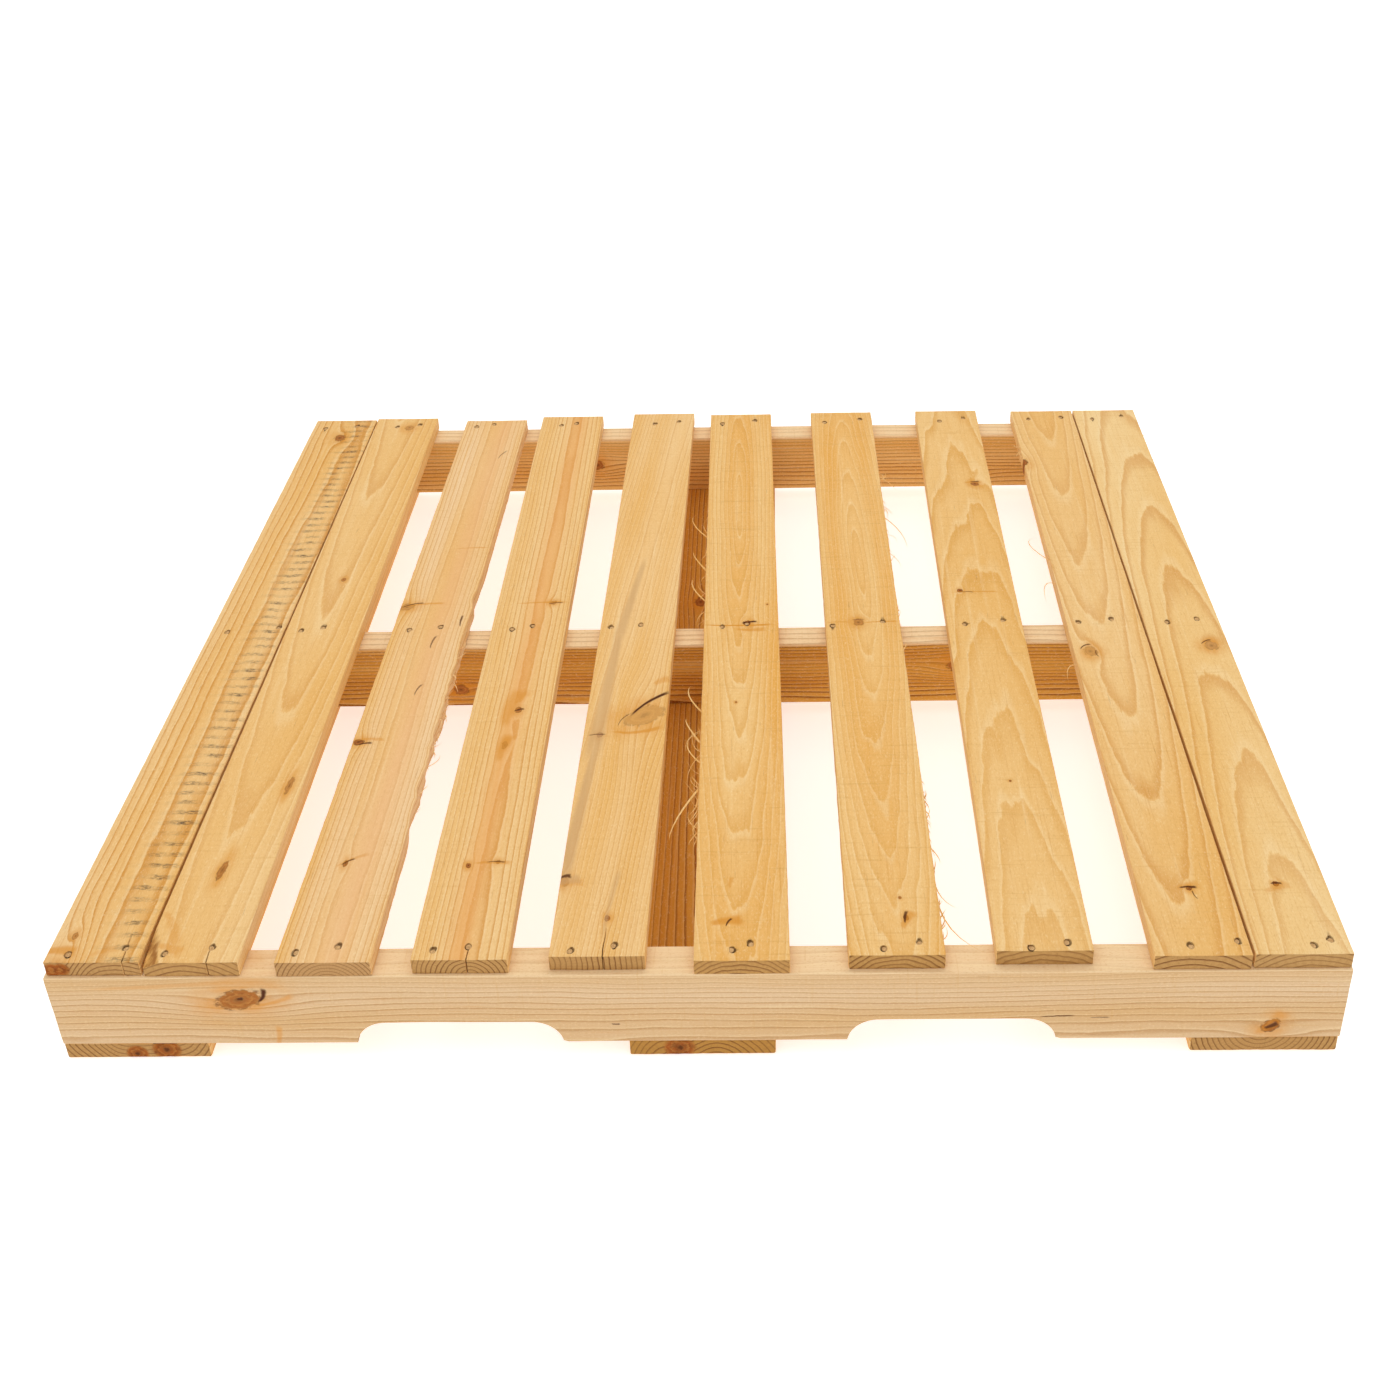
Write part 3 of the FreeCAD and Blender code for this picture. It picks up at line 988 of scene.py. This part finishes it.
RED_HEART = (0.80, 0.36, 0.10)
AMBER_LINE = (0.70, 0.335, 0.055)
AMBER = {"pale": (0.86, 0.545, 0.215), "honey": (0.80, 0.40, 0.085), "late_colour": AMBER_LINE,
         "late_from": 0.5, "waver": 9.0, "wander": 20, "sawn": 0.42, "fuzz": 0.9}

DECK_LOOKS = {
    1: {"pith": (22, -52), "ring": 5.5, "contrast": 0.75, "smudges": (25, 17, 14.6),
        "pale": (0.86, 0.58, 0.28), "edge": 1.0, "fuzz": 0.5,
        "knots": [(1, 964, 8, 1.1, 0.5), (-26, 32, 2.6, 1.6, 0.3)],
        "end_knots": [(-38, -7, 7.5, 9.4, 0.95), (-29, -7, 8.5, 8.8, 0.95)],
        "resin": [(-34, 12, 0, 36, 12, 3, 0.7), (8, 12, 20, 30, 8, 2, 0.3)],
        "checks": [(29, 0, 32, -2)]},
    2: {"pith": (-8, -58), "lean": (0, 0.03), "ring": 6.5, "contrast": 0.42,
        "knots": [(7, 993, 6, 1.2, 0.2), (0, 608, 3, 1.2, 0.4), (31, 235, 3, 4.0, 0.3, 6),
                  (-4, 116, 3.4, 3.6, 0.4, 8)],
        "resin": [(-32, 40, -62, 54, 12, 4, 0.34), (-24, 16, -20, 30, 12, 2, 0.45)],
        "wanes": [(-45, 0, 0.42, 0.16, 7)], "checks": [(15, 0, 20, 0)]},
    3: {"pith": (3, -14), "ring": 4.2, "contrast": 0.65, "pale": (0.87, 0.60, 0.33), "fuzz": 1.2,
        "ragged": (1, 150, 620, 5),
        "knots": [(-37, 549, 6, 1.6, 0.2, 66), (-38, 303, 4.5, 1.3, 0.9, 70),
                  (-8, 124, 2.4, 2, 0.5)],
        "streak": (8, 0.005, 14, (0.84, 0.47, 0.24), 0.45),
        "resin": [(-18, 552, 8, 60, 4, 3, 0.6), (21, 676, 2, 44, 2.4, 1, 0.6),
                  (-2, 128, 30, 36, 4, 2, 0.45), (-26, 306, 0, 34, 5, 2, 0.5)],
        "cracks": [(-30, 552, 20, 30, 2.4, 3, 0.75), (10, 479, 84, 26, 2.6, 2, 0.7),
                   (10, 391, 76, 22, 2.2, 2, 0.7), (36, 520, 92, 24, 3, 1, 0.8),
                   (-6, 126, 35, 16, 2.2, 1, 0.8), (-30, 300, 10, 16, 3, 1, 0.9),
                   (24, 912, 66, 26, 2.2, 2, 0.55)],
        "fringes": [(1, 180, 480, 26, 22)]},
    4: {"pith": (10, -4), "ring": 4.6, "contrast": 0.7,
        "knots": [(8, 352, 3.4, 1.5, 0.5), (1, 294, 3.4, 1.8, 0.3), (24, 553, 4, 1.1, 0.3, 75),
                  (-10, 118, 2.6, 1.2, 0.8), (19, 122, 2.4, 1.2, 0.3)],
        "streak": (0, 0.012, 13, RED_HEART, 0.6),
        "resin": [(4, 356, 78, 70, 22, 6, 0.55), (10, 553, 2, 66, 4, 1, 0.6),
                  (2, 290, 80, 48, 14, 3, 0.55), (14, 121, 0, 40, 5, 1, 0.55)],
        "cracks": [(9, 352, 20, 13, 3, 1, 0.8), (17, 122, 0, 20, 1.8, 1, 0.7),
                   (28, 552, 6, 18, 2.2, 1, 0.6)],
        "checks": [(7, 0, 18, 1)]},
    5: {"pith": (-58, 6), "lean": (0.088, 0), "ring": 5.0, "contrast": 0.5,
        "pale": (0.86, 0.56, 0.25),
        "knots": [(20, 338, 13, 1.8, 0.05, 60), (-27, 306, 3.4, 1.2, 0.6), (-40, 93, 4, 1.5, 0.2),
                  (6, 46, 2.8, 1.3, 0.6)],
        "resin": [(14, 316, 8, 60, 6, -6, 0.7), (-34, 88, 10, 30, 10, 3, 0.4),
                  (36, 396, 30, 22, 12, 2, 0.5)],
        "cracks": [(26, 357, 44, 62, 4.6, 5, 1.0), (-2, 330, 60, 26, 1.4, 3, 0.6),
                   (-40, 98, 12, 12, 5, 2, 0.9), (-30, 306, 4, 20, 2.2, 1, 0.6)],
        "stains": [(-12, 555, -97, 190, 13, 0, 0.7), (-26, 385, -93, 260, 17, 0, 0.8),
                   (-35, 205, -94, 260, 14, 0, 0.8), (8, 66, 84, 90, 6, 1, 0.5),
                   (-36, 92, 20, 26, 12, 2, 0.6)],
        "streak": (0, 0, 10, GREY_PITH, 0), "checks": [(5, 0, 34, 1)]},
    6: {**AMBER, "pith": (-2, -34), "lean": (0, 0.065), "ring": 5.2, "contrast": 0.5,
        "knots": [(7, 510, 5.5, 0.8, 0.9, 80), (-6, 365, 1.3, 1.2, 0.5),
                  (32, 548, 1.3, 1.2, 0.5)],
        "resin": [(-4, 508, 0, 92, 3.4, -2, 0.9), (12, 500, 0, 40, 7, -3, 0.6),
                  (-14, 46, 8, 34, 12, 2, 0.75), (-10, 96, 80, 16, 5, 1, 0.5)],
        "cracks": [(10, 512, 8, 20, 3.2, 1, 1.0), (-12, 46, 60, 12, 2.2, 1, 0.9)],
        "slivers": [((-44, 232, 14), (-30, -74, -3), (-7, -10, 4), 1.3),
                    ((-44, 300, 14), (-16, 44, -2), (-8, 6, 4), 1.1),
                    ((-44, 268, 15), (-13, 36, 0), (-7, 0, 3), 1.0),
                    ((-44, 352, 14), (-14, 46, 0), (-8, 0, 4), 1.1),
                    ((-44, 560, 14), (-16, 50, 0), (-8, 0, 3), 1.1),
                    ((-44, 624, 14), (-18, 44, 0), (-6, 4, 3), 1.1),
                    ((-44, 700, 14), (-20, 52, 0), (-8, 0, 3), 1.1)],
        "fringes": [(-1, 150, 330, 34, 34), (-1, 500, 760, 18, 22)]},
    7: {**AMBER, "pith": (2, -30), "lean": (0, 0.075), "ring": 5.4, "contrast": 0.5,
        "knots": [(-5, 505, 6.5, 0.9, 0.3, 80), (12, 45, 2.4, 1.6, 0.9), (8, 70, 1.6, 1.2, 0.4)],
        "resin": [(22, 505, 2, 44, 3, 1, 0.7), (-30, 505, 2, 30, 2.4, 1, 0.5),
                  (14, 42, 60, 26, 10, 2, 0.6)],
        "cracks": [(12, 46, 80, 16, 3.2, 1, 0.9), (-5, 510, 4, 16, 1.8, 1, 0.5)],
        "fringes": [(1, 20, 240, 30, 17), (1, 620, 860, 20, 26), (1, 440, 540, 8, 14)],
        "slivers": [((44, 76, 12), (38, -62, -7), (-9, -9, 3), 1.0),
                    ((44, 96, 13), (20, -34, -3), (-5, -6, 2), 0.8),
                    ((44, 742, 12), (26, -62, -8), (6, -4, 3), 0.9),
                    ((44, 846, 12), (22, -30, -5), (4, -4, 2), 0.8)]},
    8: {"pith": (3, -66), "lean": (0, -0.045), "ring": 6.6, "contrast": 0.6,
        "waver": 8.0, "wander": 18,
        "late_colour": AMBER_LINE, "late_from": 0.5,
        "sawn": 0.36, "pale": (0.86, 0.56, 0.235),
        "knots": [(22, 811, 5.5, 0.9, 0.6, 60), (-23, 563, 3.4, 1.0, 0.9), (-4, 225, 1.4, 1, 0.9)],
        "resin": [(-4, 560, 0, 60, 3, 1, 0.6), (20, 814, 0, 26, 6, 2, 0.5)],
        "cracks": [(22, 816, 6, 14, 3, 1, 0.8), (-14, 560, 0, 16, 2, 1, 0.6)]},
    9: {"pith": (-10, -70), "lean": (0.01, 0.05), "ring": 7.0, "contrast": 0.45, "waver": 2.4,
        "sawn": 0.3,
        "knots": [(-26, 448, 8, 1.05, 0.15), (5, 82, 3, 1.0, 1.0), (-47, 873, 7, 1.2, 0.9)],
        "resin": [(5, 84, 10, 26, 10, 2, 0.4)],
        "cracks": [(-30, 456, 35, 18, 2.4, 3, 0.85), (-18, 444, 95, 14, 1.8, 2, 0.6),
                   (4, 83, 0, 18, 3, 1, 0.95), (9, 74, 110, 12, 1.4, 1, 0.7)],
        "slivers": [((-44, 640, 12), (-10, 60, -5), (-16, 4, 4), 0.9),
                    ((-44, 590, 12), (-16, -34, -5), (-7, 8, 6), 0.9),
                    ((-44, 430, 12), (-14, -26, -4), (-5, 4, 4), 0.8)],
        "fringes": [(-1, 850, 930, 14, 18)]},
    10: {"pith": (14, -64), "lean": (0.0, -0.04), "ring": 6.2, "contrast": 0.5, "waver": 2.4,
         "sawn": 0.3, "pale": (0.89, 0.63, 0.30), "honey": (0.83, 0.50, 0.17),
         "knots": [(25, 455, 7.5, 1.0, 0.2), (-3, 86, 3, 1.0, 1.0)],
         "resin": [(-3, 80, 20, 30, 10, 2, 0.4)],
         "cracks": [(20, 462, 30, 16, 2.2, 2, 0.8), (-3, 86, 0, 12, 2.6, 1, 0.9)],
         "fringes": [(1, 880, 960, 10, 16)]},
}

STRINGER_PALE = (0.72, 0.51, 0.305)
STRINGER_HONEY = (0.66, 0.415, 0.19)
# painted shade: darker, more orange copies of the pine's colours, for pieces in the deck's shadow
SHADE_PALE = (0.72, 0.38, 0.07)
SHADE_HONEY = (0.60, 0.25, 0.025)
# painted light: the top edge of each stringer is made paler, where the light falls on it
STRINGER_LOOKS = {
    "front": {"pith": (-60, 64), "ring": 5.2, "waver": 4.5, "wander": 22, "contrast": 0.75,
              "sapwood": (42.6, 44),
              "pale": STRINGER_PALE, "honey": STRINGER_HONEY, "late_colour": (0.46, 0.23, 0.075),
              "knots": [(15, 180, 12, 1.75, 0.5, 14), (-28, 1152, 7, 1.3, 0.7, 40)],
              "resin": [(14, 214, 70, 40, 6, 2, 0.5), (-24, 1150, 40, 40, 14, 3, 0.4),
                        (-38, 208, 12, 40, 6, 2, 0.5), (36, 120, 86, 180, 7, 2, 0.3)],
              "cracks": [(21, 201, 20, 20, 5, 3, 1.0), (16, 181, 90, 6, 3.4, 0, 0.9),
                         (-28, 1152, 60, 14, 6, 1, 0.9), (-14, 950, 88, 34, 1.8, 0, 0.8),
                         (-16, 990, 90, 20, 1.4, 0, 0.6), (-21, 533, 90, 9, 2, 0, 0.8)]},
    # painted shade: the middle stringer takes the shaded colours and darker ring lines
    "middle": {"pith": (-52, -30), "ring": 4.4, "waver": 5.0, "wander": 24, "contrast": 1.0,
               "sapwood": (39, 43.6),
               "pale": SHADE_PALE, "honey": SHADE_HONEY, "late_colour": (0.25, 0.08, 0.012),
               "late_from": 0.5, "knots": [(-20, 300, 7, 1.3, 0.5), (10, 905, 8, 1.4, 0.5)]},
    # painted shade: the back stringer's colours and ring lines are a darker copy, a little lighter
    # than the middle one's
    "back": {"pith": (-70, -46), "ring": 4.8, "sapwood": (39, 43.6), "contrast": 0.95,
             "pale": (0.80, 0.50, 0.18), "honey": (0.72, 0.37, 0.08),
             "late_colour": (0.30, 0.11, 0.02), "waver": 4.0,
             "late_from": 0.5, "knots": [(0, 420, 8, 1.3, 0.6), (-18, 980, 6, 1.2, 0.5)]},
}

BOTTOM_LOOKS = {
    "left": {"pith": (12, 46), "ring": 5.4, "contrast": 0.7, "edge": 2.0,
             "end_knots": [(-1, 0, 6, 10, 0.9), (28, 0, 11, 13, 0.9)],
             "knots": [(-30, 420, 9, 1.2, 0.5), (20, 760, 8, 1.3, 0.6)]},
    # painted shade: the centre bottom board, under the deck, takes the shaded colours and darker
    # ring lines
    "centre": {"pith": (4, -24), "lean": (0, 0.03), "ring": 6.0, "contrast": 0.95, "edge": 1.6,
               "pale": SHADE_PALE, "honey": SHADE_HONEY, "late_colour": (0.28, 0.09, 0.015),
               "end_knots": [(-22, 0, 10, 14, 0.9)],
               "knots": [(14, 300, 9, 1.4, 0.5), (-30, 700, 8, 1.2, 0.6)]},
    "right": {"pith": (-4, 30), "ring": 5.2, "contrast": 0.7, "edge": 2.6,
              "knots": [(30, 520, 9, 1.2, 0.5), (-26, 840, 8, 1.3, 0.6)]},
}

# ---- stage --------------------------------------------------------------------------------
WORLD_STRENGTH = 0.72
FLOOR_REACH = 12.0
FLOOR_HEIGHT = -0.6 * MM                # just under the lowest wave of the bottom boards
LAMPS = (                               # (name, place, width, power), all aimed at the pallet
    ("key", (-1.4, -1.2, 3.4), 2.6, 16),
    ("fill", (2.2, -1.0, 2.8), 3.0, 6),
    ("top", (0.2, 0.8, 3.4), 3.2, 30),
)
CAMERA_PLACE = (0.0916, -1.5593, 1.2971)
CAMERA_DOWN = 27.22                     # degrees below level
CAMERA_HEADING = 1.08                   # degrees to the left of +Y
CAMERA_ROLL = -1.26
CAMERA_LENS = 40.86
CAMERA_SHIFT = (-0.041, -0.25)


def stage():
    """A pale floor, soft light from above and all round, and the camera."""
    world = bpy.data.worlds.new("studio")
    bpy.context.scene.world = world
    world.use_nodes = True
    background = world.node_tree.nodes["Background"]
    background.inputs["Color"].default_value = (1.0, 1.0, 1.0, 1.0)
    background.inputs["Strength"].default_value = WORLD_STRENGTH

    mesh = bpy.data.meshes.new("floor")
    signs = ((-1, -1), (1, -1), (1, 1), (-1, 1))
    corners = [(x * FLOOR_REACH, y * FLOOR_REACH, 0) for x, y in signs]
    mesh.from_pydata(corners, [], [(0, 1, 2, 3)])
    floor = bpy.data.objects.new("floor", mesh)
    floor.location.z = FLOOR_HEIGHT
    bpy.context.scene.collection.objects.link(floor)
    material, _, shader = new_material("floor_paint")
    shader.inputs["Base Color"].default_value = (0.84, 0.84, 0.84, 1.0)
    shader.inputs["Roughness"].default_value = 0.8
    shader.inputs["Emission Color"].default_value = (1.0, 1.0, 1.0, 1.0)
    shader.inputs["Emission Strength"].default_value = 0.56
    mesh.materials.append(material)

    for name, spot, size, power in LAMPS:
        data = bpy.data.lights.new(name, "AREA")
        data.size = size
        data.energy = power
        lamp = bpy.data.objects.new(name, data)
        bpy.context.scene.collection.objects.link(lamp)
        lamp.location = spot
        aim = Vector((0, 0, 0.05)) - Vector(spot)
        lamp.rotation_euler = aim.to_track_quat("-Z", "Y").to_euler()

    data = bpy.data.cameras.new("camera")
    data.sensor_width = 36
    data.lens = CAMERA_LENS
    data.shift_x, data.shift_y = CAMERA_SHIFT
    camera = bpy.data.objects.new("camera", data)
    bpy.context.scene.collection.objects.link(camera)
    turned = (Matrix.Rotation(math.radians(CAMERA_HEADING), 4, "Z")
              @ Matrix.Rotation(math.radians(90 - CAMERA_DOWN), 4, "X")
              @ Matrix.Rotation(math.radians(CAMERA_ROLL), 4, "Z"))
    camera.matrix_world = Matrix.Translation(CAMERA_PLACE) @ turned
    bpy.context.scene.camera = camera
    bpy.context.scene.view_settings.view_transform = "Standard"


# ---- the pallet ---------------------------------------------------------------------------
for number, look in DECK_LOOKS.items():
    piece = board(f"deck_board_{number:02d}", look, True, 100 + 7 * number)

for index, (name, look) in enumerate(BOTTOM_LOOKS.items()):
    piece = board(f"bottom_board_{name}", look, False, 300 + 7 * index)

openings = frame["record"]["physics"]["openings"]
notches = [o["box_m"] for o in openings if o["name"] in ("left_notch", "right_notch")]
notch_centres = [(box[0][0] + box[1][0]) / 2 for box in notches]
for index, (name, look) in enumerate(STRINGER_LOOKS.items()):
    centres = notch_centres if name == "front" else []
    stringer(f"{name}_stringer", look, centres, 400 + 7 * index)

metal = steel_material()
for index, number in enumerate(DECK_LOOKS):
    nails(f"deck_board_{number:02d}_nails", True, NAIL_LENGTH, metal, 500 + index)
for index, name in enumerate(BOTTOM_LOOKS):
    nails(f"bottom_board_{name}_nails", False, BOTTOM_NAIL_LENGTH, metal, 600 + index)

stage()
